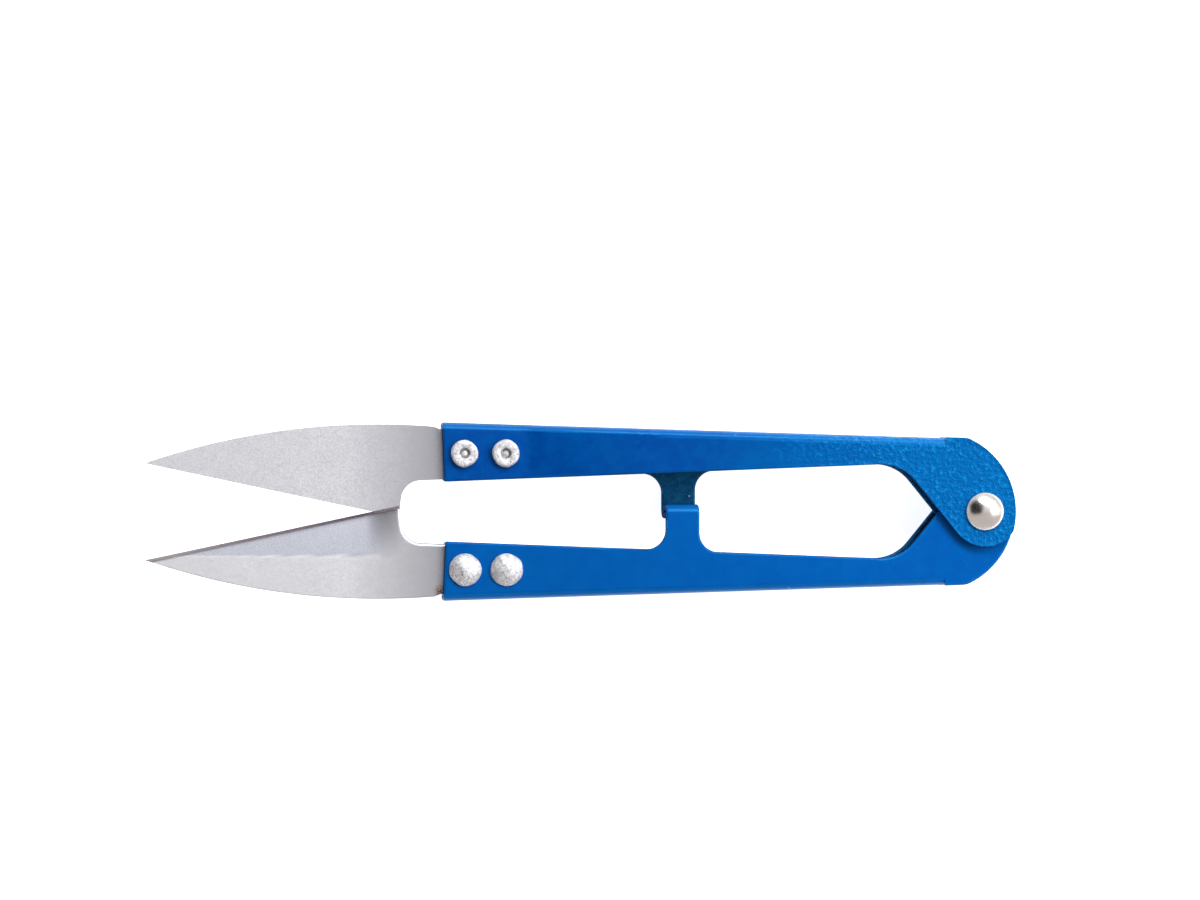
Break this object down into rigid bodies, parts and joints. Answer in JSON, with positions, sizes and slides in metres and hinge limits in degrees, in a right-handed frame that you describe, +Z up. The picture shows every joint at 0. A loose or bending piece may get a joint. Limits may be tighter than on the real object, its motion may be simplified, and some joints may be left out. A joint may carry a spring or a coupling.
{
  "type": "thread snips",
  "caption": "Spring-loaded thread snips with two folded sheet-metal handles, riveted blades and stop tabs that hook together when open.",
  "frame": {"origin": "middle of the box around the open snips, at the height of the surface they lie on", "axes": "+X from the blades to the pivot, +Y to the half whose blade is underneath, +Z up through the pivot rivet's domed head"},
  "size_m": [0.1, 0.0204, 0.0085],
  "materials": {
    "blue_enamel": "thick glossy blue enamel with a fine orange peel, on steel sheet",
    "blade_steel": "tumbled matt, ground on the bevel",
    "rivet_aluminium": "bare, dented by the rivet set",
    "pivot_nickel": "bright nickel plate",
    "spring_wire": "drawn spring wire, oiled"
  },
  "bodies": {
    "lower_half": {"lower_handle": "blue_enamel", "lower_blade": "blade_steel", "lower_front_rivet": "rivet_aluminium", "lower_rear_rivet": "rivet_aluminium", "pivot_rivet": "pivot_nickel", "torsion_spring": "spring_wire"},
    "upper_half": {"upper_handle": "blue_enamel", "upper_blade": "blade_steel", "upper_front_rivet": "rivet_aluminium", "upper_rear_rivet": "rivet_aluminium"}
  },
  "joints": [
    {"name": "squeeze", "type": "hinge", "parent": "lower_half", "child": "upper_half", "pos_m": [0.04637, 0, 0.00407], "axis": [0, 0, 1], "range_deg": [0, 6.6], "stiffness_Nm_per_rad": 1.1, "springref_deg": -14.32, "deforming": ["torsion_spring"]}
  ]
}
